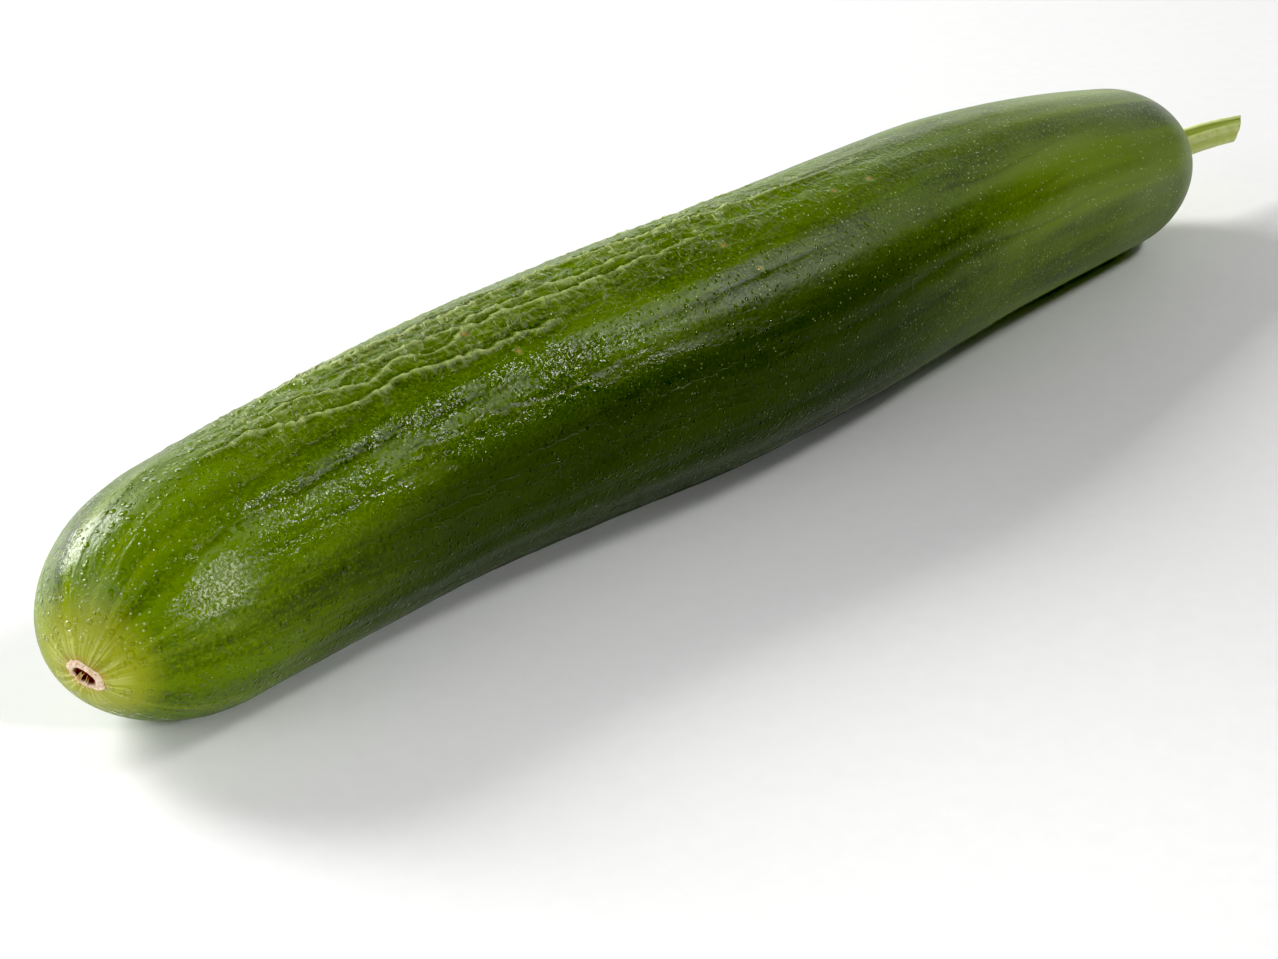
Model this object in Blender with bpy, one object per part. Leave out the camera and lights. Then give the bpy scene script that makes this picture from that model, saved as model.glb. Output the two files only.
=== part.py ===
"""A long greenhouse cucumber lying on its belly. Metres, +Z up, stem end towards +X.

The fruit is turned as a straight body, its two poles are slid off the axis, and it is
then laid along its growth line, which sways sideways while its belly stays on the
ground. The stem and the dry blossom scar sit in shallow sockets at the two poles.
"""

import math

import bmesh
import bpy
from mathutils import Matrix, Vector

# The fruit
FRUIT_LENGTH = 0.328            # from pole to pole
BODY_RADIUS = 0.02425           # at mid length
BLOSSOM_TAPER = 0.165           # share of the radius that is gone at the blossom pole
BLOSSOM_TAPER_POWER = 1.7
STEM_TAPER = 0.36               # share of the radius that is gone at the stem pole
STEM_TAPER_POWER = 2.0
BLOSSOM_DOME = 0.0295           # length of each rounded end
STEM_DOME = 0.0235

# Waves along the fruit, as the number of half waves and their height: the body swells
# and thins a little, and its middle sways sideways
SWELL = {2: -0.0004, 4: -0.0002}
SWAY = {2: 0.00125, 3: 0.0021, 4: -0.0002, 5: -0.00075}
BELLY_FLAT = 0.0003             # how far the flesh has settled flat where it lies
SIDES = 44
DOME_RINGS = 11
BODY_RINGS = 38

# Where the poles lie on the two domes: leaning sideways and upwards
BLOSSOM_LEAN = (math.radians(-12.7), math.radians(-6.9))
STEM_LEAN = (0.0, math.radians(3.3))

# The scar that the flower left, a dry oval ring round a pit
SCAR_FACING = (math.radians(-12.5), math.radians(-21.0))    # sideways and upwards from -X
SCAR_ROLL = math.radians(-38.0)      # turn of its long side about its own axis
SCAR_LENGTH = 0.0070
SCAR_WIDTH = 0.0056
SCAR_RIM = 0.0006                    # height of the rim above the skin
SCAR_SEAT = 0.0010                   # depth of its socket
SCAR_PIT = 0.55                      # the pit's share of the ring's width
SCAR_PIT_DEPTH = 0.0011
SCAR_SIDES = 28
SCAR_PLATEAU = 0.0048                # reach of the flat skin round the scar

# The stem, a short angular stalk cut off at a slant
STEM_DIRECTION = (math.radians(-8.0), math.radians(-1.5))   # sideways and upwards from +X
STEM_LENGTH = 0.0285                 # above the skin, to the middle of the cut
STEM_BASE_RADIUS = 0.0032
STEM_END_RADIUS = 0.0024
STEM_COLLAR = 0.0006                 # swelling where it joins the fruit
STEM_COLLAR_REACH = 0.0030
STEM_EDGES = 5
STEM_EDGE_HEIGHT = 0.07              # share of the radius
STEM_CUT_SLANT = math.radians(24.0)
STEM_SEAT = 0.0016                   # depth of its socket
STEM_SIDES = 30
STEM_RINGS = 14

GAP = 0.0003                         # between neighbouring pieces

SKIN_GREEN = (0.052, 0.150, 0.010, 1.0)
STALK_GREEN = (0.330, 0.420, 0.060, 1.0)
CORK_TAN = (0.520, 0.330, 0.200, 1.0)


def clear_scene():
    for obj in list(bpy.data.objects):
        bpy.data.objects.remove(obj)


def matt_material(name, colour, roughness):
    material = bpy.data.materials.new(name)
    material.use_nodes = True
    shader = material.node_tree.nodes["Principled BSDF"]
    shader.inputs["Base Color"].default_value = colour
    shader.inputs["Roughness"].default_value = roughness
    shader.inputs["Metallic"].default_value = 0.0
    return material


def body(name, bm):
    """One named object from a finished bmesh, with its faces pointing out."""
    bm.normal_update()
    bmesh.ops.recalc_face_normals(bm, faces=bm.faces)
    mesh = bpy.data.meshes.new(name)
    bm.to_mesh(mesh)
    bm.free()
    obj = bpy.data.objects.new(name, mesh)
    bpy.context.scene.collection.objects.link(obj)
    return obj


def piece(name, bm, material):
    """A body that is part of the cucumber, shaded smooth."""
    obj = body(name, bm)
    obj.data.materials.append(material)
    obj.data.shade_smooth()
    obj.data.set_sharp_from_angle(angle=math.radians(40))
    return obj


# ---------------------------------------------------------------- shape of the fruit

def waves_at(waves, x):
    """Sum of sine waves along the fruit, each zero at both poles."""
    share = x / FRUIT_LENGTH + 0.5
    return sum(height * math.sin(count * math.pi * share) for count, height in waves.items())


def body_radius(x):
    """Radius of the straight body at x, before its ends are rounded."""
    u = 2 * x / FRUIT_LENGTH
    if u < 0:
        share = 1 - BLOSSOM_TAPER * (-u) ** BLOSSOM_TAPER_POWER
    else:
        share = 1 - STEM_TAPER * u ** STEM_TAPER_POWER
    return BODY_RADIUS * share + waves_at(SWELL, x)


def growth_line(x):
    """Middle of the fruit at x: it sways sideways, and its belly stays on the ground."""
    return Vector((x, waves_at(SWAY, x), body_radius(x) - BELLY_FLAT))


def lay_on_growth_line(co):
    """Moves a point of the straight body to its place on the lying fruit."""
    step = 1e-4
    along = (growth_line(co.x + step) - growth_line(co.x - step)).normalized()
    side = Vector((0, 0, 1)).cross(along).normalized()
    up = along.cross(side)
    return growth_line(co.x) + side * co.y + up * co.z


def pointing(lean, end):
    """Unit vector along +X or -X (end is 1 or -1), leant sideways and upwards."""
    return Vector((end, math.tan(lean[0]), math.tan(lean[1]))).normalized()


def slide_pole(co, end, dome, lean):
    """Slides the skin over its dome, so that the pole comes to lie off the axis."""
    start = end * (FRUIT_LENGTH / 2 - dome)
    reach = end * (co.x - start) / dome
    if reach <= 0:
        return co
    radius = body_radius(co.x)
    on_sphere = Vector((end * reach, co.y / radius, co.z / radius))
    pole = pointing(lean, end)
    axis = Vector((end, 0, 0)).cross(pole)
    if axis.length > 0:
        angle = pole.angle(Vector((end, 0, 0))) * min(reach, 1) ** 2
        on_sphere = Matrix.Rotation(angle, 3, axis) @ on_sphere
    x = start + dome * on_sphere.x
    return Vector((x, on_sphere.y * body_radius(x), on_sphere.z * body_radius(x)))


def grown(co):
    """From the straight body to the lying fruit."""
    co = slide_pole(co, -1, BLOSSOM_DOME, BLOSSOM_LEAN)
    co = slide_pole(co, 1, STEM_DOME, STEM_LEAN)
    return lay_on_growth_line(co)


def pole_place(end):
    return grown(Vector((end * FRUIT_LENGTH / 2, 0, 0)))


def frame_at(place, direction, roll=0.0):
    """Matrix that takes +Z to the direction and the origin to the place."""
    turn = direction.to_track_quat("Z", "Y").to_matrix().to_4x4()
    return Matrix.Translation(place) @ turn @ Matrix.Rotation(roll, 4, "Z")


def scar_frame():
    return frame_at(pole_place(-1), pointing(SCAR_FACING, -1), SCAR_ROLL)


def stem_frame():
    return frame_at(pole_place(1), pointing(STEM_DIRECTION, 1))


def flatten_round_scar(co, frame):
    """The skin round the scar lies in the scar's own plane."""
    local = frame.inverted() @ co
    distance = math.hypot(local.x, local.y)
    if local.z < -SCAR_PLATEAU:
        return co
    local.z *= 1 - math.exp(-((distance / SCAR_PLATEAU) ** 4))
    return frame @ local


def fruit_outline():
    """Stations along the straight body, pole to pole, closer together on the domes."""
    half = FRUIT_LENGTH / 2
    quarter = math.pi / 2
    points = []
    for i in range(DOME_RINGS):
        angle = quarter * i / DOME_RINGS
        points.append((-half + BLOSSOM_DOME * (1 - math.cos(angle)), math.sin(angle)))
    body = FRUIT_LENGTH - BLOSSOM_DOME - STEM_DOME
    for i in range(BODY_RINGS + 1):
        points.append((-half + BLOSSOM_DOME + body * i / BODY_RINGS, 1.0))
    for i in reversed(range(DOME_RINGS)):
        angle = quarter * i / DOME_RINGS
        points.append((half - STEM_DOME * (1 - math.cos(angle)), math.sin(angle)))
    return [Vector((x, 0, share * body_radius(x))) for x, share in points]


def turned(points, axis, sides):
    """Closed body turned from an outline whose two ends lie on the axis."""
    bm = bmesh.new()
    verts = [bm.verts.new(p) for p in points]
    edges = [bm.edges.new(pair) for pair in zip(verts, verts[1:])]
    bmesh.ops.spin(bm, geom=verts + edges, cent=(0, 0, 0), axis=axis, angle=math.tau,
                   steps=sides, use_merge=True)
    bmesh.ops.remove_doubles(bm, verts=bm.verts, dist=1e-6)
    return bm


def cut_through(bm, place, outwards):
    """Cuts away what lies outwards of a plane, and closes the cut with one flat face."""
    cut = bmesh.ops.bisect_plane(bm, geom=bm.verts[:] + bm.edges[:] + bm.faces[:],
                                 plane_co=place, plane_no=outwards, clear_outer=True)
    rim = [g for g in cut["geom_cut"] if isinstance(g, bmesh.types.BMEdge)]
    bmesh.ops.contextual_create(bm, geom=rim)


def cutter(name, bm, matrix):
    """A hidden body that cuts a socket."""
    bm.transform(matrix)
    obj = body(name, bm)
    obj.hide_render = True
    obj.display_type = "WIRE"
    return obj


def socket(obj, tool):
    boolean = obj.modifiers.new(tool.name, "BOOLEAN")
    boolean.operation = "DIFFERENCE"
    boolean.object = tool


def disc(radius, bottom, top, sides):
    """A plain round body from bottom to top."""
    bm = bmesh.new()
    bmesh.ops.create_cone(bm, cap_ends=True, segments=sides, radius1=radius,
                          radius2=radius, depth=top - bottom)
    bmesh.ops.translate(bm, verts=bm.verts, vec=(0, 0, (top + bottom) / 2))
    return bm


def make_fruit(material):
    bm = turned(fruit_outline(), (1, 0, 0), SIDES)
    frame = scar_frame()
    for vert in bm.verts:
        vert.co = flatten_round_scar(grown(vert.co), frame)
    cut_through(bm, (0, 0, 0), (0, 0, -1))
    fruit = piece("fruit", bm, material)

    seat = disc(SCAR_LENGTH / 2 + GAP, -SCAR_SEAT, SCAR_SEAT, SCAR_SIDES)
    scale = (SCAR_WIDTH + 2 * GAP) / (SCAR_LENGTH + 2 * GAP)
    bmesh.ops.scale(seat, verts=seat.verts, vec=(1, scale, 1))
    socket(fruit, cutter("scar_socket", seat, frame))

    base = STEM_BASE_RADIUS * (1 + STEM_EDGE_HEIGHT) + STEM_COLLAR + GAP
    hole = disc(base, -STEM_SEAT, STEM_SEAT * 2, STEM_SIDES)
    socket(fruit, cutter("stem_socket", hole, stem_frame()))
    return fruit


# ---------------------------------------------------------------- scar and stem

def make_blossom_scar(material):
    """A low oval ring with a rounded rim and a pit, turned and then squeezed oval."""
    outer = SCAR_LENGTH / 2
    floor = GAP - SCAR_SEAT
    pit = outer * SCAR_PIT
    crest = (outer + pit) / 2
    half_rim = (outer - pit) / 2
    outline = [Vector((0, 0, floor)), Vector((outer, 0, floor)), Vector((outer, 0, 0))]
    for i in range(1, 7):
        angle = math.pi * i / 7
        outline.append(Vector((crest + half_rim * math.cos(angle), 0,
                               SCAR_RIM * math.sin(angle))))
    pit_floor = floor + (SCAR_SEAT - GAP) - SCAR_PIT_DEPTH / 2
    outline += [Vector((pit, 0, -SCAR_RIM / 4)), Vector((pit * 0.7, 0, pit_floor * 0.7)),
                Vector((0, 0, pit_floor))]
    bm = turned(outline, (0, 0, 1), SCAR_SIDES)
    bmesh.ops.scale(bm, verts=bm.verts, vec=(1, SCAR_WIDTH / SCAR_LENGTH, 1))
    bm.transform(scar_frame())
    return piece("blossom_scar", bm, material)


def stem_radius(height):
    share = max(height, 0) / STEM_LENGTH
    taper = STEM_BASE_RADIUS + (STEM_END_RADIUS - STEM_BASE_RADIUS) * share
    return taper + STEM_COLLAR * math.exp(-((max(height, 0) / STEM_COLLAR_REACH) ** 2))


def make_stem(material):
    """A tapered stalk with blunt edges, turned round, then edged and cut at a slant."""
    bottom = GAP - STEM_SEAT
    top = STEM_LENGTH + STEM_END_RADIUS
    step = (top - bottom) / STEM_RINGS
    side = [Vector((1, 0, bottom + step * i)) for i in range(STEM_RINGS + 1)]
    bm = turned([Vector((0, 0, bottom))] + side + [Vector((0, 0, top))], (0, 0, 1), STEM_SIDES)
    for vert in bm.verts:
        turn = math.atan2(vert.co.y, vert.co.x)
        edge = 1 + STEM_EDGE_HEIGHT * math.cos(STEM_EDGES * turn)
        scale = stem_radius(vert.co.z) * edge
        vert.co.x *= scale
        vert.co.y *= scale
    slant = Vector((-math.sin(STEM_CUT_SLANT), 0, math.cos(STEM_CUT_SLANT)))
    cut_through(bm, (0, 0, STEM_LENGTH), slant)
    bm.transform(stem_frame())
    return piece("stem", bm, material)


def settle_on_origin(objects):
    """Puts the middle of the whole cucumber's underside on the origin."""
    corners = [obj.matrix_world @ v.co for obj in objects for v in obj.data.vertices]
    lows = [min(c[i] for c in corners) for i in range(3)]
    highs = [max(c[i] for c in corners) for i in range(3)]
    shift = Vector(((lows[0] + highs[0]) / -2, (lows[1] + highs[1]) / -2, -lows[2]))
    for mesh_object in bpy.data.objects:
        mesh_object.data.transform(Matrix.Translation(shift))


def main():
    clear_scene()
    fruit = make_fruit(matt_material("cucumber_skin", SKIN_GREEN, 0.35))
    scar = make_blossom_scar(matt_material("dry_cork", CORK_TAN, 0.85))
    stem = make_stem(matt_material("stalk", STALK_GREEN, 0.55))
    settle_on_origin([fruit, scar, stem])


main()
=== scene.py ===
"""The looks of a long greenhouse cucumber that lies on its belly. Metres, +Z up. The stem
end is at +X, and the near side at -Y.

The skin is turned as a straight body with many fine rings, given its folds, ribs and
dimples, and laid along the fruit's growth line. The stalk, the dry scar that the flower
left and the scar's fibres are pieces of their own.
"""

import math
import random

import bmesh
import bpy
from mathutils import Matrix, Vector, noise


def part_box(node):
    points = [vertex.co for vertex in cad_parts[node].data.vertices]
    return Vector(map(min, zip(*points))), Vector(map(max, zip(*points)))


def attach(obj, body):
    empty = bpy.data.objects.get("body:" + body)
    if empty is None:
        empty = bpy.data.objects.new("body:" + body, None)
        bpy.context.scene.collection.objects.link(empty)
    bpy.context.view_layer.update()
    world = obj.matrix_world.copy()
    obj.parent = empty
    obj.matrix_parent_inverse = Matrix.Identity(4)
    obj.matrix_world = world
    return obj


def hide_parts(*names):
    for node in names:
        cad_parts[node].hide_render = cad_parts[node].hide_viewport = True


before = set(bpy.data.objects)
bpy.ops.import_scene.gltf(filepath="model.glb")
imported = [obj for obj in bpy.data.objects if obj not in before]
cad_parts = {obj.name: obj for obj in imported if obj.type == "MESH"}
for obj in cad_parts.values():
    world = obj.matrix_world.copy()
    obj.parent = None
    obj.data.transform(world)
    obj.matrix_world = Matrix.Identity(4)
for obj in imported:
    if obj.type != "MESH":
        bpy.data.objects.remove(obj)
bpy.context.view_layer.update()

# Vector noise is offset by the noise seed, which would otherwise come from the clock
noise.seed_set(5)

MM = 0.001

# The fruit's growth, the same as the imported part's
LENGTH = 0.328
BODY_RADIUS = 0.02425
BLOSSOM_TAPER = 0.165
BLOSSOM_TAPER_POWER = 1.7
STEM_TAPER = 0.36
STEM_TAPER_POWER = 2.0
BLOSSOM_DOME = 0.0295
STEM_DOME = 0.0235
SWELL = {2: -0.0004, 4: -0.0002}
SWAY = {2: 0.00125, 3: 0.0021, 4: -0.0002, 5: -0.00075}
BELLY_FLAT = 0.0003
BLOSSOM_LEAN = (math.radians(-12.7), math.radians(-6.9))
STEM_LEAN = (0.0, math.radians(3.3))

# The scar that the flower left
SCAR_FACING = (math.radians(-12.5), math.radians(-21.0))
SCAR_ROLL = math.radians(-38.0)
SCAR_LENGTH = 0.0067
SCAR_WIDTH = 0.0049
SCAR_RIM = 0.0006
SCAR_PLATEAU = 0.0048
SCAR_WELL = 0.0016
SCAR_ROOT = 0.0007
SCAR_PIT_SHARE = 0.56
SCAR_PIT_DEPTH = 0.00065
SCAR_SIDES = 96
RIM_STEPS = 12
PIT_STEPS = 8
FIBRE_COUNT = 8
FIBRE_STEPS = 12
FIBRE_SIDES = 7

# The stalk
STEM_DIRECTION = (math.radians(-8.0), math.radians(-1.5))
STEM_LENGTH = 0.0274
STEM_BASE_RADIUS = 0.0031
STEM_END_RADIUS = 0.0028
STEM_COLLAR = 0.0006
STEM_COLLAR_REACH = 0.0030
STEM_EDGES = 5
STEM_EDGE_HEIGHT = 0.08
STEM_EDGE_TURN = math.radians(147.0)
# The turn of the stalk's groove that is darkened with painted shade
STEM_SHADED_GROOVE_TURN = math.radians(112.0)
STEM_CUT_SLANT = math.radians(50.0)
STEM_CORNER_TURN = math.radians(20.0)
STEM_CORNER_DRAW = 0.0005
STEM_ARCH = 0.0005
STEM_ROOT = 0.0012
STEM_RINGS = 110
STEM_SIDES = 120

# Millimetres round the straight body for each degree from the top
MM_PER_DEGREE = math.radians(1) * BODY_RADIUS / MM

# How finely the skin is meshed: its points crowd where it is folded, on top and towards
# the blossom end
SKIN_SIDES = 254
SIDE_CROWDING = 0.3
BLOSSOM_RINGS = 48
STEM_END_RINGS = 34
FOLDED_SPACING = 0.65 * MM
SMOOTH_SPACING = 1.8 * MM
FOLDED_END = 20 * MM

# Folds of the skin that stand out one by one: height and width in millimetres, and the
# route as millimetres from mid length and degrees from the top, towards the near side
FOLDS = [
    (0.55, 1.0, [(-136, -1), (-129, 5), (-123, 4), (-113, 11), (-100, 19), (-91, 17), (-78, 23), (-50, 26)]),
    (0.50, 1.0, [(-121, -2), (-110, -2), (-102, 5), (-95, 11), (-87, 7), (-78, 14), (-70, 9), (-47, 13),
                 (-27, 12), (-12, 12)]),
    (0.45, 0.9, [(-100, -2), (-90, 0), (-78, 4), (-62, 4), (-35, 6), (-20, 3)]),
    (0.55, 1.1, [(-112, -24), (-105, -20), (-91, -14), (-77, -11), (-69, -7), (-50, -10), (-30, -7), (5, -2),
                 (40, 2), (80, 4)]),
    (0.45, 1.2, [(-125, -44), (-108, -40), (-88, -33), (-66, -36), (-40, -30), (-10, -26), (30, -22),
                 (70, -20)]),
    (0.30, 0.8, [(-154, 52), (-145, 45), (-137, 41), (-131, 41), (-124, 43), (-112, 45)]),
    (0.16, 0.9, [(-161, -14), (-152, -11), (-141, -13), (-133, -16)]),
    (0.20, 0.9, [(-161, 18), (-152, 15), (-143, 11), (-133, 6)]),
    (0.12, 0.8, [(-161, 36), (-150, 33), (-139, 27), (-128, 24)]),
    (0.16, 0.9, [(-160, 78), (-150, 76), (-141, 73), (-134, 68)]),
    (0.35, 0.6, [(-104, 50), (-97, 50), (-90, 53), (-84, 51), (-74, 54), (-66, 56), (-50, 55), (-36, 53)]),
]

# Folds higher than this, in millimetres, have short ribs that run off them, and the crease
# above them is at its deepest
SPURRED_FROM = 0.40
SPUR_SPACING = 2.4

# Relief of the skin: long ribs with grooves between them, broad dents, small lumps, and
# the dimples round the brown dots
RIB_COUNT = 22
RIB_HEIGHT = 0.10 * MM
GROOVE_DEPTH = 0.12 * MM
DENT_HEIGHT = 0.40 * MM
LUMP_HEIGHT = 0.07 * MM
DIMPLE_DEPTH = 0.22 * MM
DIMPLE_RADIUS = 1.4

# The middle of the patch of mist, where a hazy highlight is painted: millimetres from mid length, angle from
# the top
MIST = (-146.0, math.radians(60.0))

# Small brown dots in shallow dimples: millimetres from mid length, degrees from the top
DOTS = [(-66.7, 31.5), (-9.5, 38.5), (-71.7, 10.5), (-12.3, 20.5), (21.3, -8.0), (22.5, 15.5), (33.3, 17.5),
        (58.0, -75.0), (-40.0, -95.0), (-96.0, 150.0)]


# ------------------------------------------------------------------ growth of the fruit

def waves_at(waves, x):
    """Sum of sine waves along the fruit, each zero at both poles."""
    share = x / LENGTH + 0.5
    return sum(height * math.sin(count * math.pi * share) for count, height in waves.items())


def body_radius(x):
    """Radius of the straight body at x, before its ends are rounded."""
    u = 2 * x / LENGTH
    if u < 0:
        share = 1 - BLOSSOM_TAPER * (-u) ** BLOSSOM_TAPER_POWER
    else:
        share = 1 - STEM_TAPER * u ** STEM_TAPER_POWER
    return BODY_RADIUS * share + waves_at(SWELL, x)


def growth_line(x):
    return Vector((x, waves_at(SWAY, x), body_radius(x) - BELLY_FLAT))


def lay_on_growth_line(co):
    """Moves a point of the straight body to its place on the lying fruit."""
    step = 1e-4
    along = (growth_line(co.x + step) - growth_line(co.x - step)).normalized()
    side = Vector((0, 0, 1)).cross(along).normalized()
    up = along.cross(side)
    return growth_line(co.x) + side * co.y + up * co.z


def pointing(lean, end):
    """Unit vector along +X or -X (end is 1 or -1), leant sideways and upwards."""
    return Vector((end, math.tan(lean[0]), math.tan(lean[1]))).normalized()


def slide_pole(co, end, dome, lean):
    """Slides the skin over its dome, so that the pole comes to lie off the axis."""
    start = end * (LENGTH / 2 - dome)
    reach = end * (co.x - start) / dome
    if reach <= 0:
        return co
    radius = body_radius(co.x)
    on_sphere = Vector((end * reach, co.y / radius, co.z / radius))
    pole = pointing(lean, end)
    axis = Vector((end, 0, 0)).cross(pole)
    angle = pole.angle(Vector((end, 0, 0))) * min(reach, 1) ** 2
    on_sphere = Matrix.Rotation(angle, 3, axis) @ on_sphere
    x = start + dome * on_sphere.x
    return Vector((x, on_sphere.y * body_radius(x), on_sphere.z * body_radius(x)))


def grown(co):
    """From the straight body to the lying fruit."""
    co = slide_pole(co, -1, BLOSSOM_DOME, BLOSSOM_LEAN)
    co = slide_pole(co, 1, STEM_DOME, STEM_LEAN)
    return lay_on_growth_line(co)


def pole_place(end):
    return grown(Vector((end * LENGTH / 2, 0, 0)))


def frame_at(place, direction, roll=0.0):
    """Matrix that takes +Z to the direction and the origin to the place."""
    turn = direction.to_track_quat("Z", "Y").to_matrix().to_4x4()
    return Matrix.Translation(place) @ turn @ Matrix.Rotation(roll, 4, "Z")


def scar_frame():
    return frame_at(pole_place(-1), pointing(SCAR_FACING, -1), SCAR_ROLL)


def stem_frame():
    return frame_at(pole_place(1), pointing(STEM_DIRECTION, 1))


def flatten_round_scar(co, scar):
    """The skin round the scar lies in the scar's own plane."""
    local = scar.inverted() @ co
    distance = math.hypot(local.x, local.y)
    if local.z < -SCAR_PLATEAU:
        return co
    local.z *= 1 - math.exp(-((distance / SCAR_PLATEAU) ** 4))
    under = math.hypot(local.x / SCAR_LENGTH, local.y / SCAR_WIDTH) * 2
    local.z -= SCAR_WELL * (1 - rise(0.55, 0.80, under))
    return scar @ local


# ------------------------------------------------------------------ mesh helpers

def piece(name, bm, finish, slot, *nodes):
    """A finished piece that stands for CAD nodes and takes the finish it is given. The slot is not used."""
    bm.normal_update()
    bmesh.ops.recalc_face_normals(bm, faces=bm.faces)
    mesh = bpy.data.meshes.new(name)
    bm.to_mesh(mesh)
    bm.free()
    mesh.shade_smooth()
    mesh.materials.append(finish)
    obj = bpy.data.objects.new(name, mesh)
    bpy.context.scene.collection.objects.link(obj)
    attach(obj, "root")
    if nodes:
        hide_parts(*nodes)
    return obj


def turned(points, axis, sides, bm=None):
    """Closed body turned from an outline whose two ends lie on the axis."""
    bm = bm or bmesh.new()
    verts = [bm.verts.new(p) for p in points]
    edges = [bm.edges.new(pair) for pair in zip(verts, verts[1:])]
    bmesh.ops.spin(bm, geom=verts + edges, cent=(0, 0, 0), axis=axis, angle=math.tau,
                   steps=sides, use_merge=True)
    bmesh.ops.remove_doubles(bm, verts=bm.verts, dist=1e-6)
    return bm


def rise(low, high, value):
    """0 below low, 1 above high, smooth between. High may lie below low."""
    share = min(max((value - low) / (high - low), 0), 1)
    return share * share * (3 - 2 * share)


def bell(distance, width):
    return math.exp(-((distance / width) ** 2))


# ------------------------------------------------------------------ relief of the skin

def route_at(route, x):
    """Smooth height of a route at x, or None past its ends. All in the route's own units."""
    if not route[0][0] < x < route[-1][0]:
        return None
    index = max(i for i, point in enumerate(route[:-1]) if point[0] <= x)
    before = route[max(index - 1, 0)]
    here = route[index]
    there = route[index + 1]
    after = route[min(index + 2, len(route) - 1)]
    span = there[0] - here[0]
    share = (x - here[0]) / span
    slope_here = (there[1] - before[1]) / (there[0] - before[0]) * span
    slope_there = (after[1] - here[1]) / (after[0] - here[0]) * span
    square, cube = share ** 2, share ** 3
    return (here[1] * (2 * cube - 3 * square + 1) + slope_here * (cube - 2 * square + share)
            + there[1] * (3 * square - 2 * cube) + slope_there * (cube - square))


def spur_ribs(along, away, seed):
    """Short ribs that run off a fold to both sides, all in millimetres: 1 on their crests."""
    highest = 0.0
    middle = math.floor(along / SPUR_SPACING)
    for index in (middle - 1, middle, middle + 1):
        luck = noise.cell_vector(Vector((index + 0.5, seed + 0.5, 0.5)))
        centre = (index + 0.2 + 0.6 * luck.x) * SPUR_SPACING + away * 1.3 * (luck.y - 0.5)
        reach = max(0.05, 6.4 * luck.z ** 1.6 - 1.0) * (1.0 if away > 0 else 0.7)
        rib = bell(along - centre, 0.42) * rise(reach, 0.35 * reach, abs(away))
        highest = max(highest, rib)
    return highest


def fold_ridges(x, turn):
    """Height of the skin's single folds in metres, how near the closest one is, and how
    much the place lies in the crease above a fold."""
    total = 0.0
    near = 0.0
    valley = 0.0
    along = x / MM
    for count, (height, width, route) in enumerate(FOLDS):
        degrees = route_at(route, along)
        if degrees is None:
            continue
        wobble = 2.2 * noise.noise(Vector((x * 260, count * 7.3, 0)))
        away = (math.degrees(turn) - degrees - wobble) * MM_PER_DEGREE
        if abs(away) > 6:
            continue
        ends = rise(0, 7, along - route[0][0]) * rise(0, 9, route[-1][0] - along)
        ends *= rise(55, -5, along)
        profile = 0.84 * bell(away, width * 0.36) + 0.16 * bell(away, width * 1.6)
        if height > SPURRED_FROM:
            profile += 0.60 * spur_ribs(along, away, count)
        crease = bell(away + 1.15 * width, width * 0.45) * rise(0.15, SPURRED_FROM, height)
        total += height * ends * (profile - 0.5 * crease)
        near = max(near, height * 2 * ends * bell(away, 2.8))
        valley = max(valley, height * 2 * ends * crease)
    return total * MM, near, valley


def net_lines(grain, long, wide, width, seed):
    """1 on the lines of a net of long cells, falling to 0 inside them."""
    place = Vector((grain.x / long, grain.y / wide, grain.z / wide))
    bend = noise.noise_vector(place * 0.9 + Vector((seed, 0, 0)))
    distances = noise.voronoi(place + bend * 0.35 + Vector((0, seed, 0)))[0]
    return bell(distances[1] - distances[0], width)


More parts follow.
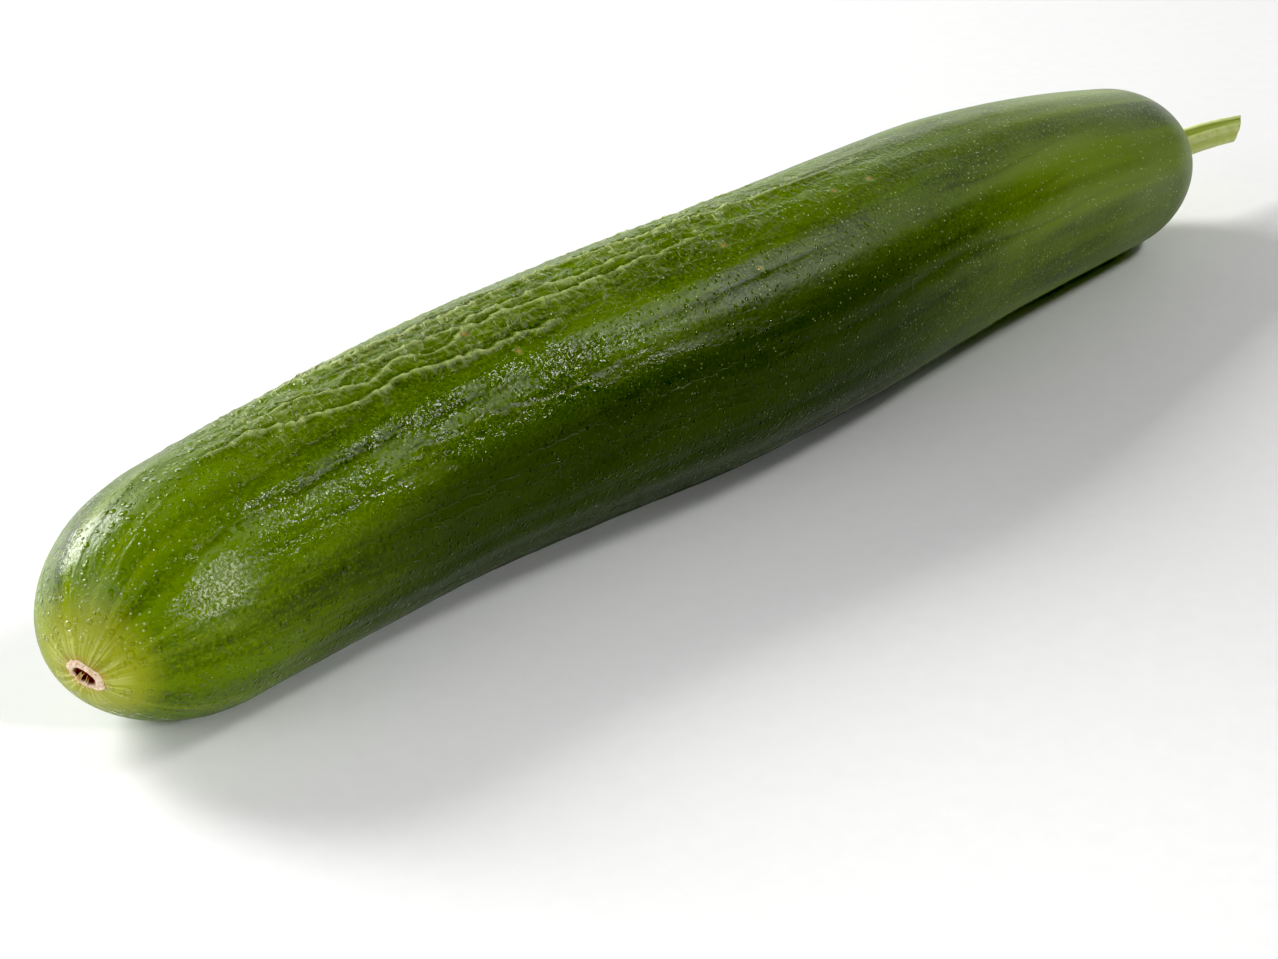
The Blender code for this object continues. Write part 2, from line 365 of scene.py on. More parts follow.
class Relief:
    """Relief of the skin at one point: its height, how much it is crest or groove, and how
    folded the skin is there. The crest's paler colour is partly painted sheen, and the groove
    is painted shade in the grooves and the creases above the folds. The turn is the angle
    from the top, positive on the near side."""

    def __init__(self, grain, turn):
        x = grain.x
        degrees = math.degrees(turn)
        lively = noise.noise(Vector((x * 22, grain.y * 45, grain.z * 45)))

        top = rise(-100, -38, degrees) * rise(40, 6, degrees)
        folded = top * rise(-140 * MM, -116 * MM, x) * rise(95 * MM, -35 * MM, x)
        folded *= 0.7 + 0.8 * lively
        body = rise(-158 * MM, -130 * MM, x) * rise(150 * MM, 60 * MM, x)
        behind = rise(6, -22, degrees)

        ridges, near, valley = fold_ridges(x, turn)
        calm = 1 - 0.5 * rise(-12, -32, degrees)
        long_net = net_lines(grain, 17 * MM, 4.6 * MM, 0.10, 3.1)
        spurs = net_lines(grain, 3.0 * MM, 8.0 * MM, 0.16, 9.4)
        fine_net = net_lines(grain, 2.6 * MM, 2.2 * MM, 0.26, 5.7)

        wander = 0.9 * noise.noise(Vector((x * 24, grain.y * 60, grain.z * 60)))
        rib = math.cos(RIB_COUNT * turn + wander * math.pi)
        groove_line = bell((1 + rib) ** 0.5, 0.22)
        patchy = rise(-0.35, 0.25, noise.noise(Vector((x * 30, grain.y * 90 + 5, grain.z * 90))))
        flank = body * (1 - 0.8 * top) * patchy
        spurred = min(1, near + 0.7 * behind) * spurs

        height = RIB_HEIGHT * rib * body * (0.6 + 0.4 * rise(0.06, -0.02, x))
        height += ridges * calm
        height += folded * calm * MM * (0.34 * long_net + 0.30 * spurred + 0.06 * fine_net)
        height -= flank * GROOVE_DEPTH * groove_line
        height += DENT_HEIGHT * body * noise.noise(Vector((x * 34, grain.y * 60, grain.z * 60 + 9)))
        height += LUMP_HEIGHT * body * noise.noise(Vector((x * 170, grain.y * 330, grain.z * 330)))
        for dot_x, dot_degrees in DOTS:
            across = (degrees - dot_degrees) * MM_PER_DEGREE
            height -= DIMPLE_DEPTH * bell(math.hypot(x / MM - dot_x, across), DIMPLE_RADIUS)

        self.height = height
        self.folded = folded
        self.crest = min(1, max(0, 1.7 * ridges / MM + folded * (0.36 * long_net + 0.42 * spurred)))
        self.groove_shade = min(1, flank * groove_line + valley)


def skin_outline():
    """Stations along the straight body, pole to pole."""
    half = LENGTH / 2
    quarter = math.pi / 2
    stations = []
    for i in range(BLOSSOM_RINGS):
        angle = quarter * i / BLOSSOM_RINGS
        stations.append((-half + BLOSSOM_DOME * (1 - math.cos(angle)), math.sin(angle)))
    x = -half + BLOSSOM_DOME
    while x < half - STEM_DOME:
        stations.append((x, 1.0))
        x += FOLDED_SPACING if x < FOLDED_END else SMOOTH_SPACING
    for i in reversed(range(STEM_END_RINGS + 1)):
        angle = quarter * i / STEM_END_RINGS
        stations.append((half - STEM_DOME * (1 - math.cos(angle)), math.sin(angle)))
    return [Vector((x, 0, share * body_radius(x))) for x, share in stations]


def make_skin(finish, shift):
    bm = turned(skin_outline(), (1, 0, 0), SKIN_SIDES)
    grains = bm.verts.layers.float_vector.new("grain")
    crests = bm.verts.layers.float.new("crest")
    # The groove layer carries the painted shade of the grooves and the creases above the folds
    groove_shades = bm.verts.layers.float.new("groove_shade")
    foldeds = bm.verts.layers.float.new("folded")
    scar = scar_frame()
    heights = {}
    for vert in bm.verts:
        reach = math.hypot(vert.co.y, vert.co.z)
        turn = math.atan2(-vert.co.y, vert.co.z)
        turn -= SIDE_CROWDING * math.sin(turn)
        across = Vector((0, -math.sin(turn), math.cos(turn)))
        straight = Vector((vert.co.x, 0, 0)) + across * reach
        grain = Vector((vert.co.x, 0, 0)) + across * BODY_RADIUS
        relief = Relief(grain, turn)
        vert[grains] = grain
        vert[crests] = relief.crest
        vert[groove_shades] = relief.groove_shade
        vert[foldeds] = relief.folded
        heights[vert] = relief.height
        vert.co = flatten_round_scar(grown(straight), scar) + shift
    bm.normal_update()
    bmesh.ops.recalc_face_normals(bm, faces=bm.faces)
    bm.normal_update()
    for vert, height in heights.items():
        vert.co += vert.normal * height
        vert.co.z = max(vert.co.z, 0)
    return piece("cucumber_skin", bm, finish, "skin", "fruit")


def plain_shift():
    """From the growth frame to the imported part's frame."""
    points = [grown(p) for station in skin_outline()[::6] for p in
              (Matrix.Rotation(math.tau * i / 24, 3, "X") @ station for i in range(24))]
    fruit_low, fruit_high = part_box("fruit")
    own = [(min(p[i] for p in points), max(p[i] for p in points)) for i in range(3)]
    middle = (fruit_low + fruit_high) / 2
    return Vector((middle.x - sum(own[0]) / 2, middle.y - sum(own[1]) / 2, -BELLY_FLAT))


# ------------------------------------------------------------------ scar and stalk

def make_scar(finish, shift):
    """A low oval ring of cork with a rounded, lumpy rim and a pit."""
    outer = SCAR_LENGTH / 2
    pit = outer * SCAR_PIT_SHARE
    crest = (outer + pit) / 2
    half_rim = (outer - pit) / 2
    outline = [Vector((0, 0, -SCAR_ROOT)), Vector((outer * 0.9, 0, -SCAR_ROOT)),
               Vector((outer * 1.02, 0, -0.2 * MM))]
    for i in range(RIM_STEPS + 1):
        angle = math.pi * i / RIM_STEPS
        outline.append(Vector((crest + half_rim * math.cos(angle), 0, SCAR_RIM * math.sin(angle))))
    for i in range(1, PIT_STEPS + 1):
        share = i / PIT_STEPS
        outline.append(Vector((pit * (1 - share), 0, -SCAR_PIT_DEPTH * (1 - (1 - share) ** 3))))
    bm = turned(outline, (0, 0, 1), SCAR_SIDES)
    ring = bm.verts.layers.float_vector.new("grain")
    for vert in bm.verts:
        reach = math.hypot(vert.co.x, vert.co.y)
        turn = math.atan2(vert.co.y, vert.co.x)
        vert[ring] = Vector((reach / outer, turn / math.tau, vert.co.z / MM))
        lumps = noise.noise(Vector((vert.co.x * 900, vert.co.y * 900, 0)))
        crumbs = noise.noise(Vector((vert.co.x * 2600, vert.co.y * 2600, 4)))
        petals = 0.035 * math.cos(5 * turn + 1) + 0.03 * math.cos(11 * turn)
        if vert.co.z > -0.6 * MM:
            vert.co.z += (0.16 * lumps + 0.10 * crumbs) * MM
            scale = 1 + petals * rise(0.4, 1, reach / outer) + 0.05 * lumps
            vert.co.x *= scale
            vert.co.y *= scale
    bmesh.ops.scale(bm, verts=bm.verts, vec=(1, SCAR_WIDTH / SCAR_LENGTH, 1))
    bm.transform(Matrix.Translation(shift) @ scar_frame())
    return piece("flower_scar", bm, finish, "cork", "blossom_scar")


def make_fibres(finish, shift):
    """Dry fibres that curl out of the scar's pit and over the lower side of its rim."""
    chance = random.Random(11)
    bm = bmesh.new()
    for count in range(FIBRE_COUNT):
        across = chance.uniform(-1.5, 1.0)
        reach = chance.uniform(1.4, 2.2) if count % 3 else chance.uniform(2.8, 3.6)
        start = Vector((across, -0.5 + chance.uniform(-0.3, 0.3), -0.35)) * MM
        over = Vector((across + chance.uniform(-1.2, 1.2), -1.6, chance.uniform(1.9, 2.7))) * MM
        end = Vector((across + chance.uniform(-1.3, 1.5), -reach, 0.8 if reach < 2.4 else 0.2)) * MM
        thick = chance.uniform(0.05, 0.12) * MM
        shares = [i / FIBRE_STEPS for i in range(1, FIBRE_STEPS)]
        outline = [Vector((0, 0, 0))]
        outline += [Vector((thick * (1.1 - 0.8 * share), 0, share)) for share in shares]
        outline += [Vector((0, 0, 1))]
        known = set(bm.verts)
        turned(outline, (0, 0, 1), FIBRE_SIDES, bm)
        for vert in bm.verts:
            if vert in known:
                continue
            share = vert.co.z
            along = (over - start).lerp(end - over, share).normalized()
            side = Vector((1, 0, 0)).cross(along).normalized()
            middle = start.lerp(over, share).lerp(over.lerp(end, share), share)
            vert.co = middle + side * vert.co.y + side.cross(along) * vert.co.x
    bm.transform(Matrix.Translation(shift) @ scar_frame())
    return piece("scar_fibres", bm, finish, "cork")


def stem_radius(height):
    share = max(height, 0) / STEM_LENGTH
    taper = STEM_BASE_RADIUS + (STEM_END_RADIUS - STEM_BASE_RADIUS) * share
    return taper + STEM_COLLAR * bell(max(height, 0), STEM_COLLAR_REACH)


def make_stalk(finish, shift):
    """A slightly tapered, five-edged stalk, cut off at a slant with a drawn-out corner."""
    bottom = -STEM_ROOT
    top = STEM_LENGTH + 3 * STEM_END_RADIUS
    spacing = (top - bottom) / STEM_RINGS
    side = [Vector((1, 0, bottom + spacing * i)) for i in range(STEM_RINGS + 1)]
    bm = turned([Vector((0, 0, bottom))] + side + [Vector((0, 0, top))], (0, 0, 1), STEM_SIDES)
    grains = bm.verts.layers.float_vector.new("grain")
    edges = bm.verts.layers.float.new("crest")
    for vert in bm.verts:
        turn = math.atan2(vert.co.y, vert.co.x)
        height = vert.co.z
        edge = math.cos(STEM_EDGES * (turn - STEM_EDGE_TURN))
        strand = noise.noise(Vector((math.cos(turn) * 5, math.sin(turn) * 5, height * 60)))
        scale = stem_radius(height) * (1 + STEM_EDGE_HEIGHT * edge) * (1 + 0.035 * strand)
        vert[grains] = Vector((math.cos(turn), math.sin(turn), height / MM))
        # The crest layer carries the painted highlight on the stalk's edges
        vert[edges] = 0.5 + 0.5 * edge
        vert.co.x *= scale
        vert.co.y *= scale
        share = height / STEM_LENGTH
        vert.co.y += STEM_ARCH * 4 * share * (1 - share)
    corner = Vector((math.cos(STEM_CORNER_TURN), math.sin(STEM_CORNER_TURN), 0))
    slant = Vector((0, 0, math.cos(STEM_CUT_SLANT))) - corner * math.sin(STEM_CUT_SLANT)
    cut = bmesh.ops.bisect_plane(bm, geom=bm.verts[:] + bm.edges[:] + bm.faces[:],
                                 plane_co=(0, 0, STEM_LENGTH), plane_no=slant, clear_outer=True)
    rim = [g for g in cut["geom_cut"] if isinstance(g, bmesh.types.BMEdge)]
    cap = bmesh.ops.contextual_create(bm, geom=rim)["faces"]
    bmesh.ops.poke(bm, faces=cap)
    for vert in bm.verts:
        across = Vector((vert.co.x, vert.co.y, 0))
        sunk = vert.co.z - STEM_LENGTH - corner.dot(across) * math.tan(STEM_CUT_SLANT)
        if sunk > -2.5 * MM:
            near_corner = bell((across - corner * STEM_END_RADIUS).length, 1.0 * MM)
            drawn_out = STEM_CORNER_DRAW * near_corner + 0.25 * MM * noise.noise(across * 900)
            vert.co.z += drawn_out * rise(-2.5 * MM, 0, sunk)
    bm.transform(Matrix.Translation(shift) @ stem_frame())
    return piece("cut_stalk", bm, finish, "stalk", "stem")


# ------------------------------------------------------------------ finishes

class Wire:
    """A value in a finish. Arithmetic on it adds Math nodes."""

    def __init__(self, finish, socket):
        self.finish = finish
        self.socket = socket

    def maths(self, operation, *values):
        return self.finish.node("Math", values, operation=operation)

    def __add__(self, other):
        return self.maths("ADD", self, other)

    __radd__ = __add__

    def __sub__(self, other):
        return self.maths("SUBTRACT", self, other)

    def __rsub__(self, other):
        return self.maths("SUBTRACT", other, self)

    def __mul__(self, other):
        return self.maths("MULTIPLY", self, other)

    __rmul__ = __mul__

    def __truediv__(self, other):
        return self.maths("DIVIDE", self, other)

    def __pow__(self, other):
        return self.maths("POWER", self, other)


class Finish:
    """A material whose nodes are added by its methods."""

    def __init__(self, name, **constants):
        self.material = bpy.data.materials.new(name)
        self.material.use_nodes = True
        self.tree = self.material.node_tree
        self.shader = self.tree.nodes["Principled BSDF"]
        for socket, value in constants.items():
            self.put(self.shader.inputs[socket.replace("_", " ")], value)

    def put(self, socket, value):
        if isinstance(value, Wire):
            self.tree.links.new(value.socket, socket)
        else:
            socket.default_value = value

    def node(self, kind, sockets=(), output=0, **settings):
        """Adds a node: first its settings, then its sockets' values or wires."""
        node = self.tree.nodes.new("ShaderNode" + kind)
        for setting, value in settings.items():
            setattr(node, setting, value)
        pairs = sockets.items() if isinstance(sockets, dict) else enumerate(sockets)
        for key, value in pairs:
            self.put(node.inputs[key], value)
        return Wire(self, node.outputs[output])

    def place(self):
        return self.node("TexCoord", output="Object")

    def stored(self, name, output="Vector"):
        return self.node("Attribute", output=output, attribute_name=name)

    def part_of(self, vector, axis):
        return self.node("SeparateXYZ", [vector], output=axis)

    def stretched(self, vector, *scale):
        return self.node("VectorMath", (vector, scale), operation="MULTIPLY")

    def clouds(self, vector, scale=1.0, detail=2.0, roughness=0.5, distortion=0.0):
        return self.node("TexNoise", {"Vector": vector, "Scale": scale, "Detail": detail,
                                      "Roughness": roughness, "Distortion": distortion})

    def warped(self, vector, scale, amount):
        """The vector pushed about by clouds, so that what follows it wanders."""
        push = self.node("TexNoise", {"Vector": vector, "Scale": scale, "Detail": 2.0}, output="Color")
        push = self.node("VectorMath", (push, (0.5, 0.5, 0.5)), operation="SUBTRACT")
        push = self.node("VectorMath", {0: push, "Scale": amount}, operation="SCALE")
        return self.node("VectorMath", (vector, push), operation="ADD")

    def cells(self, vector, scale=1.0, feature="F1", output="Distance"):
        return self.node("TexVoronoi", {"Vector": vector, "Scale": scale}, output=output,
                         feature=feature)

    def beads(self, vector, scale, radius, gaps):
        """Round drops, one to a cell, whose radius is a share of the cell's size. The gaps
        are the share of cells that stay bare."""
        away = self.cells(vector, scale)
        luck = self.part_of(self.cells(vector, scale, output="Color"), "X")
        size = self.node("MapRange", {"Value": luck, "From Min": gaps, "From Max": 1.0})
        left = 1 - (away * away) * (1 / radius ** 2) / (0.25 + 0.75 * size)
        return self.root(left) * self.rise(size, 0.0, 0.02)

    def root(self, value):
        """Square root, with 0 for what lies below 0."""
        positive = self.node("Math", (value, 0.0), operation="MAXIMUM")
        return self.node("Math", (positive,), operation="SQRT")

    def rise(self, value, low, high):
        """0 below low, 1 above high, smooth between. High may lie below low."""
        return self.node("MapRange", {"Value": value, "From Min": low, "From Max": high},
                         interpolation_type="SMOOTHSTEP")

    def blend(self, low, high, share):
        """From the low colour to the high one."""
        return self.node("Mix", {0: share, 6: low, 7: high}, output=2, data_type="RGBA")

    def surface(self, colour, roughness, height):
        """Feeds the shader. The height is in metres."""
        self.put(self.shader.inputs["Base Color"], colour)
        self.put(self.shader.inputs["Roughness"], roughness)
        bump = self.node("Bump", {"Strength": 1.0, "Distance": 1.0, "Height": height},
                         output="Normal")
        self.put(self.shader.inputs["Normal"], bump)
        return self.material


# Painted shade on the flanks, in the grooves and in the creases
PAINTED_SHADE_GREEN = (0.010, 0.018, 0.0003, 1)
DEEP_GREEN = (0.022, 0.042, 0.0006, 1)
LEAF_GREEN = (0.090, 0.150, 0.0010, 1)
LIME = (0.130, 0.220, 0.0015, 1)
# Pale green of the veins and dot rims, and painted sheen on the crests
VEIN_AND_SHEEN_GREEN = (0.480, 0.560, 0.210, 1)
BLOSSOM_LIME = (0.300, 0.330, 0.010, 1)
BAND_LIME = (0.270, 0.360, 0.020, 1)
CREAM = (0.560, 0.570, 0.150, 1)
RUST = (0.420, 0.230, 0.060, 1)
# Grey bloom of the stem end, also the grey of the painted haze in the mist
BLOOM_AND_HAZE = (0.210, 0.280, 0.080, 1)
# Painted highlight: the whitish froth in the mist
FROTH_HIGHLIGHT = (0.640, 0.700, 0.480, 1)
# Pale specks, partly painted glints
SPECK_AND_GLINT = (0.600, 0.680, 0.340, 1)
# Painted shade in the stalk's groove
STALK_SHADE_GREEN = (0.230, 0.310, 0.006, 1)
STALK_LIME = (0.480, 0.560, 0.090, 1)
# Painted highlight on the stalk's edges
STALK_EDGE_HIGHLIGHT = (0.660, 0.730, 0.270, 1)
STALK_BROWN = (0.240, 0.080, 0.045, 1)
CORK = (0.640, 0.440, 0.290, 1)
PALE_CORK = (0.910, 0.760, 0.600, 1)
CORK_SPECK = (0.250, 0.130, 0.050, 1)
PIT_DARK = (0.050, 0.010, 0.003, 1)
PIT_RUST = (0.240, 0.065, 0.022, 1)
STRAW = (0.640, 0.440, 0.140, 1)
PALE_STRAW = (0.800, 0.680, 0.380, 1)
TABLE = (0.800, 0.800, 0.795, 1)
PALE_TABLE = (0.840, 0.840, 0.835, 1)


def skin_finish():
    """Zones are given in metres: x from mid length, with the blossom end at -0.164 and the
    stem end at 0.164, and upward from the straight body's axis to its top at 0.02425."""
    skin = Finish("waxy_skin", IOR=1.45, Specular_IOR_Level=0.34)
    place = skin.place()
    grain = skin.stored("grain")
    crest = skin.stored("crest", "Fac")
    groove_shade = skin.stored("groove_shade", "Fac")
    folded = skin.stored("folded", "Fac")
    x = skin.part_of(grain, "X")
    bent = skin.warped(grain, 240, 0.0022)

    # Mottled green, in streaks that follow the growth, with a fine pale grain
    mottle = skin.clouds(skin.stretched(bent, 30, 140, 140), detail=5, roughness=0.65)
    streak = skin.clouds(skin.stretched(grain, 7, 210, 210), detail=3)
    broad = skin.clouds(skin.stretched(grain, 5, 75, 75), detail=2)
    pebbles = skin.clouds(place, scale=1500, detail=2, roughness=0.7)
    colour = skin.blend(DEEP_GREEN, LEAF_GREEN, skin.rise(mottle + pebbles * 0.5, 0.45, 0.92))
    near_end = skin.rise(x, -0.085, -0.160)
    far_end = skin.rise(x, 0.040, 0.110)
    ends = near_end * 0.5 + far_end * 0.9
    colour = skin.blend(colour, LIME, skin.rise(streak, 0.50, 0.66) * (0.22 + ends * 0.6))
    colour = skin.blend(colour, LIME, skin.rise(broad, 0.48, 0.62) * ends * 0.8)
    colour = skin.blend(colour, BAND_LIME, skin.rise(broad, 0.40, 0.66) * far_end * 0.42)

    # Painted shade: the flanks are darkened, reaching higher towards the middle of the fruit, and so are the
    # grooves, the creases above the folds and the thin creases that wander there
    colour = skin.blend(colour, LIME, skin.rise(pebbles, 0.50, 0.66) * 0.55)
    upward = skin.part_of(grain, "Z")
    reach = skin.rise(x, -0.145, -0.075)
    reach = reach + skin.rise(x, -0.060, -0.010) * skin.rise(x, 0.070, 0.030) * 0.45
    flank = skin.rise(upward, 0.0110 + 0.0066 * reach, 0.0015 + 0.0055 * reach)
    flank = flank * skin.rise(x, -0.150, -0.090) * skin.rise(x, 0.075, 0.010)
    colour = skin.blend(colour, PAINTED_SHADE_GREEN, flank * 0.86)
    contour = skin.clouds(skin.stretched(bent, 5, 120, 120), detail=0)
    crease = skin.rise(skin.node("Math", (contour * 55.0,), operation="SINE"), -0.80, -1.0)
    crease = crease * skin.rise(upward, 0.014, 0.007)
    crease = crease * skin.rise(x, 0.03, -0.04) * skin.rise(x, -0.155, -0.135)
    crease = crease * skin.rise(mottle, 0.36, 0.52)
    colour = skin.blend(colour, PAINTED_SHADE_GREEN, groove_shade * 0.42 + crease * 0.16)

    # Crests of the folds are paler, with thin branching veins among them; their whitish colour is partly
    # painted sheen
    veins = skin.cells(skin.stretched(bent, 130, 360, 360), feature="DISTANCE_TO_EDGE")
    vein = skin.rise(veins, 0.09, 0.01) * folded
    across = skin.clouds(skin.stretched(bent, 520, 150, 150), detail=1)
    ribs = skin.node("Math", (across - 0.5,), operation="ABSOLUTE")
    ribs = skin.rise(ribs, 0.030, 0.0) * skin.rise(folded, 0.15, 0.60)
    pale_and_sheen = skin.node("Math", (crest ** 2.6 + vein * 0.26 + ribs * 0.34, 1.0), operation="MINIMUM")
    colour = skin.blend(colour, VEIN_AND_SHEEN_GREEN, pale_and_sheen * 0.68)

    # The blossom end goes lime, with pale bands and cream streaks that run out from the scar
    bands = skin.clouds(skin.stretched(grain, 6, 170, 170), detail=2)
    banded = skin.rise(bands, 0.50, 0.60) * skin.rise(x, -0.132, -0.158)
    colour = skin.blend(colour, BAND_LIME, banded * 0.28)
    rays = skin.clouds(skin.stretched(grain, 12, 330, 330), detail=2)
    colour = skin.blend(colour, BLOSSOM_LIME, skin.rise(x, -0.1570, -0.1636) * 0.95)
    ray_reach = skin.rise(x, -0.1614, -0.1633)
    colour = skin.blend(colour, CREAM, ray_reach * skin.rise(rays, 0.43, 0.66) * 0.72)
    rust_ring = skin.rise(x, -0.16325, -0.16365) * skin.rise(rays, 0.62, 0.44)
    colour = skin.blend(colour, RUST, rust_ring * 0.55)

    # A grey bloom lies on the stem end, and small pale specks on the far half and on top of the near end,
    # partly painted glints of tiny drops, with fewer of them on the painted shade of the flanks
    bloom = skin.clouds(skin.stretched(grain, 30, 60, 60), detail=3)
    colour = skin.blend(colour, BLOOM_AND_HAZE, skin.rise(x, 0.060, 0.155) * skin.rise(bloom, 0.30, 0.70) * 0.55)
    speck_size = skin.part_of(skin.cells(place, scale=1100, output="Color"), "Y")
    speck_and_glint = skin.rise(skin.cells(place, scale=1100) / (0.06 + 0.21 * speck_size), 1.0, 0.6)
    specked = skin.rise(x, -0.09, 0.00) + near_end * skin.rise(upward, 0.002, 0.014) * 0.7
    speck_and_glint = speck_and_glint * skin.rise(speck_size, 0.40, 0.45) * specked
    speck_and_glint = speck_and_glint * skin.rise(skin.clouds(place, scale=150, detail=2), 0.36, 0.52)
    colour = skin.blend(colour, SPECK_AND_GLINT, speck_and_glint * (0.7 - flank * 0.4))

    # Dry brown dots, each with a pale rim
    for dot_x, dot_degrees in DOTS:
        turn = math.radians(dot_degrees)
        spot = Vector((dot_x * MM, -BODY_RADIUS * math.sin(turn), BODY_RADIUS * math.cos(turn)))
        away = skin.node("VectorMath", (bent, spot), output="Value", operation="DISTANCE")
        colour = skin.blend(colour, VEIN_AND_SHEEN_GREEN, skin.rise(away, 0.0013, 0.0007) * 0.18)
        colour = skin.blend(colour, RUST, skin.rise(away, 0.0006, 0.0003) * 0.9)

    # A patch of fine mist on the near side of the blossom end: its bumps and smoother skin are real, and its
    # grey and whitish froth colours are a painted hazy highlight
    mist_place = Vector((MIST[0] * MM, -BODY_RADIUS * math.sin(MIST[1]), BODY_RADIUS * math.cos(MIST[1])))
    from_mist = skin.node("VectorMath", (bent, mist_place), output="Value", operation="DISTANCE")
    droplets = skin.clouds(place, scale=2100, detail=2, roughness=0.7)
    patches = skin.clouds(skin.stretched(grain, 70, 130, 130), detail=4, roughness=0.65)
    mist_core = skin.rise(from_mist, 0.0070, 0.0020)
    mist_and_highlight = skin.rise(from_mist, 0.0115, 0.0030) * skin.rise(patches + mist_core * 0.14, 0.46, 0.60)
    colour = skin.blend(colour, BLOOM_AND_HAZE, mist_and_highlight * skin.rise(droplets, 0.42, 0.56) * 0.9)
    froth_and_highlight = mist_and_highlight * skin.rise(droplets, 0.51, 0.58)
    colour = skin.blend(colour, FROTH_HIGHLIGHT, froth_and_highlight * 0.62)

    # Beads of water, large ones on the blossom end and fine ones over the near half
    wet = skin.rise(x, -0.005, -0.070)
    on_end = skin.rise(x, -0.128, -0.150)
    large = skin.beads(place, 500, 0.36, 0.60 - on_end * 0.40) * skin.rise(x, -0.095, -0.140)
    small = skin.beads(place, 930, 0.40, 0.60 - wet * 0.20) * skin.rise(x, 0.050, -0.020)

    # A film of water over worm-like wrinkles, in a band along the near side, and dew that
    # is finer than both
    band = skin.rise(upward, 0.0060, 0.0125) * skin.rise(upward, 0.0232, 0.0195)
    near_side = skin.rise(skin.part_of(grain, "Y"), 0.002, -0.004)
    film = skin.rise(patches, 0.40, 0.58) * wet * band * near_side
    glaze = skin.rise(x, -0.1455, -0.1505) * skin.rise(upward, 0.0140, 0.0195)
    glaze = glaze * skin.rise(patches, 0.34, 0.50)
    worms = skin.clouds(skin.stretched(bent, 620, 950, 950), detail=2, roughness=0.6)
    dew = skin.rise(droplets, 0.54, 0.62) * wet * skin.rise(patches, 0.30, 0.55)
    dew = dew * skin.rise(upward, 0.0010, 0.0120)
    wrinkle = skin.cells(skin.stretched(bent, 420, 330, 330), feature="DISTANCE_TO_EDGE")
    height = (large * 0.00034 + small * 0.00015 + pebbles * 0.00006 + dew * 0.00005
              + droplets * mist_and_highlight * 0.00016 + froth_and_highlight * 0.00005
              + worms * (0.00008 + 0.00014 * folded + 0.00026 * film)
              + skin.rise(wrinkle, 0.20, 0.0) * 0.00014 * folded + vein * 0.00018 + ribs * 0.00020
              + speck_and_glint * 0.00003 - crease * 0.00008)
    dry = 0.43 - mist_and_highlight * 0.13
    water = large * 4.0 + small * 3.0 + film * 0.9 + dew * 0.7 + glaze * 0.75
    water = skin.node("Math", (water, 1.0), operation="MINIMUM")
    return skin.surface(colour, dry * (1 - water * 0.80), height)


def cork_finish():
    cork = Finish("dry_cork", IOR=1.4, Specular_IOR_Level=0.3)
    grain = cork.stored("grain")
    place = cork.place()
    reach = cork.part_of(grain, "X")
    crumbs = cork.clouds(place, scale=1500, detail=4, roughness=0.7)
    colour = cork.blend(CORK, PALE_CORK, cork.rise(crumbs, 0.35, 0.65))
    pit = cork.rise(reach + crumbs * 0.10, 0.72, 0.60)
    rust = cork.blend(PIT_DARK, PIT_RUST, cork.rise(crumbs, 0.40, 0.66))
    colour = cork.blend(colour, rust, pit)
    specks = cork.rise(cork.clouds(place, scale=3200, detail=1), 0.62, 0.70)
    colour = cork.blend(colour, CORK_SPECK, specks * 0.6)
    return cork.surface(colour, 0.8, crumbs * 0.00025)


def straw_finish():
    straw = Finish("dry_straw", IOR=1.4, Specular_IOR_Level=0.35)
    crumbs = straw.clouds(straw.place(), scale=2200, detail=2)
    colour = straw.blend(STRAW, PALE_STRAW, straw.rise(crumbs, 0.38, 0.62))
    return straw.surface(colour, 0.6, crumbs * 0.00005)


def stalk_finish():
    stalk = Finish("green_stalk", IOR=1.42, Specular_IOR_Level=0.4)
    grain = stalk.stored("grain")
    edge = stalk.stored("crest", "Fac")
    place = stalk.place()
    height = stalk.part_of(grain, "Z")
    strands = stalk.clouds(stalk.stretched(grain, 6, 6, 0.10), detail=4, roughness=0.6)
    blotches = stalk.clouds(place, scale=420, detail=4, roughness=0.6)
    # Painted highlight: the stalk's edges are paler
    colour = stalk.blend(STALK_LIME, STALK_EDGE_HIGHLIGHT, stalk.rise(edge + strands * 1.6, 0.60, 1.50))
    colour = stalk.blend(colour, STALK_LIME, stalk.rise(blotches, 0.42, 0.62) * 0.5)
    # Painted shade: the groove on one side of the stalk, at a set turn, is darker
    on_shaded_groove = stalk.part_of(grain, "X") * math.cos(STEM_SHADED_GROOVE_TURN)
    on_shaded_groove = on_shaded_groove + stalk.part_of(grain, "Y") * math.sin(STEM_SHADED_GROOVE_TURN)
    colour = stalk.blend(colour, STALK_SHADE_GREEN, stalk.rise(on_shaded_groove, 0.91, 0.98) * 0.85)
    browned = stalk.rise(height + blotches * 1.2, 29.0, 30.0)
    colour = stalk.blend(colour, STALK_BROWN, browned * 0.8)
    relief = strands * 0.00022 + blotches * 0.00016
    return stalk.surface(colour, 0.42, relief)


def floor_finish():
    table = Finish("pale_table", IOR=1.45, Specular_IOR_Level=0.2)
    grit = table.clouds(table.place(), scale=240, detail=2)
    colour = table.blend(TABLE, PALE_TABLE, grit)
    return table.surface(colour, 0.6, grit * 0.00002)


# ------------------------------------------------------------------ floor, lights, camera

FLOOR_HALF_WIDTH = 3.0
ROOM_LIGHT = 0.08
FLOOR_GAP = 0.0001


def make_floor():
    bm = bmesh.new()
    bmesh.ops.create_grid(bm, x_segments=2, y_segments=2, size=FLOOR_HALF_WIDTH)
    mesh = bpy.data.meshes.new("floor")
    bm.to_mesh(mesh)
    bm.free()
    mesh.materials.append(floor_finish())
    floor = bpy.data.objects.new("floor", mesh)
    floor.location.z = -FLOOR_GAP
    bpy.context.scene.collection.objects.link(floor)


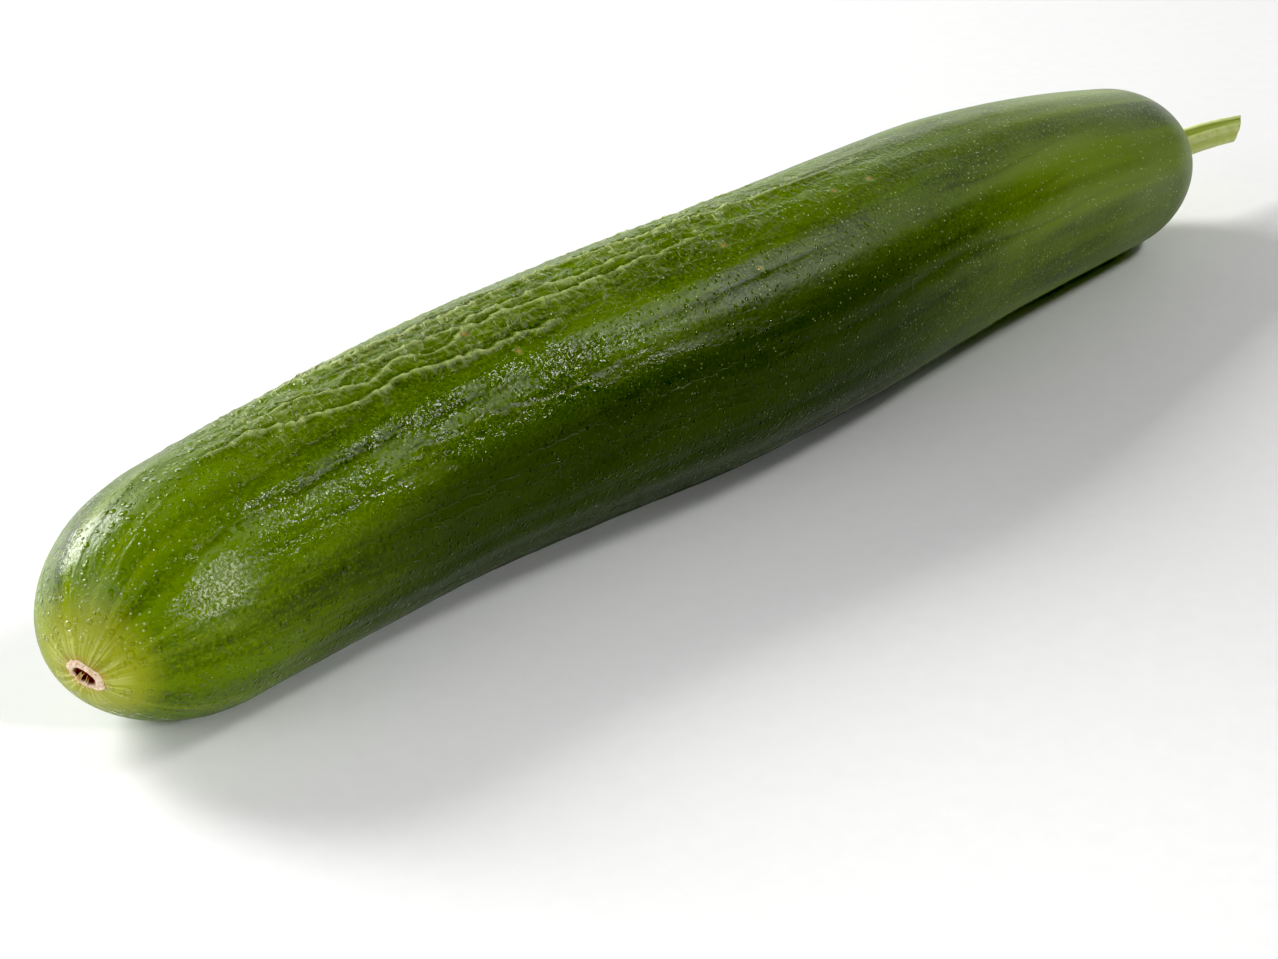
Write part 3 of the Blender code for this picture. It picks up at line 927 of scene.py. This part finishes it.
def softbox(name, middle, towards, distance, width, height, radiance, spread=180.0):
    """A rectangular light that shines on the middle from the given direction. The spread is
    the full angle of its beam in degrees; the radiance straight ahead stays the same."""
    light = bpy.data.lights.new(name, "AREA")
    light.shape = "RECTANGLE"
    light.size = width
    light.size_y = height
    light.energy = math.pi * width * height * radiance
    if spread < 180.0:
        half = math.radians(spread / 2)
        light.spread = math.radians(spread)
        light.energy *= (math.tan(half) - half) / math.tan(half)
    obj = bpy.data.objects.new(name, light)
    towards = Vector(towards).normalized()
    obj.location = middle + towards * distance
    obj.rotation_euler = towards.to_track_quat("Z", "Y").to_euler()
    bpy.context.scene.collection.objects.link(obj)


def make_lights(middle):
    """Each light's name, what it shines on, its direction, distance, width, height,
    radiance and, where it is narrow, its spread."""
    near_end = middle + Vector((MIST[0] * MM, -0.010, 0.0))
    softbox("window_light", middle, (-0.19, 0.84, 0.50), 1.1, 0.46, 0.55, 21.0)
    softbox("side_light", middle, (0.60, -0.44, 0.67), 1.2, 0.30, 0.07, 78.0)
    softbox("front_light", near_end, (0.10, -0.91, 0.41), 0.7, 0.11, 0.11, 75.0, 36.0)
    softbox("blossom_light", middle, (-0.92, 0.05, 0.38), 1.2, 1.2, 1.2, 2.0)
    softbox("back_wall", middle, (0.75, 0.55, 0.14), 2.0, 2.6, 0.55, 2.3)
    softbox("low_wall", middle, (-0.25, 0.95, 0.08), 2.0, 2.0, 0.40, 2.4)
    world = bpy.data.worlds.new("studio")
    world.use_nodes = True
    background = world.node_tree.nodes["Background"]
    background.inputs["Color"].default_value = (1.0, 1.0, 1.0, 1)
    background.inputs["Strength"].default_value = ROOM_LIGHT
    bpy.context.scene.world = world


# The camera's place, from the fruit's middle on the floor, and its turn
CAMERA_OFFSET = Vector((-0.4198, -0.3294, 0.2398))
CAMERA_YAW = math.radians(50.128)
CAMERA_PITCH = math.radians(25.004)
CAMERA_LENS = 84.5
CAMERA_FILM_WIDTH = 36
BLACK_LEVEL = 0.020


def make_camera(middle):
    data = bpy.data.cameras.new("camera")
    data.lens = CAMERA_LENS
    data.sensor_width = CAMERA_FILM_WIDTH
    camera = bpy.data.objects.new("camera", data)
    camera.location = Vector((middle.x, middle.y, 0)) + CAMERA_OFFSET
    camera.rotation_euler = (math.pi / 2 - CAMERA_PITCH, 0, -CAMERA_YAW)
    bpy.context.scene.collection.objects.link(camera)
    bpy.context.scene.camera = camera


def main():
    shift = plain_shift()
    make_skin(skin_finish(), shift)
    make_scar(cork_finish(), shift)
    make_fibres(straw_finish(), shift)
    make_stalk(stalk_finish(), shift)
    fruit_low, fruit_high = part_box("fruit")
    middle = (fruit_low + fruit_high) / 2
    make_floor()
    make_lights(middle)
    make_camera(middle)
    settings = bpy.context.scene.view_settings
    settings.view_transform = "Standard"
    settings.use_curve_mapping = True
    settings.curve_mapping.black_level = (BLACK_LEVEL,) * 3
    settings.curve_mapping.update()


main()
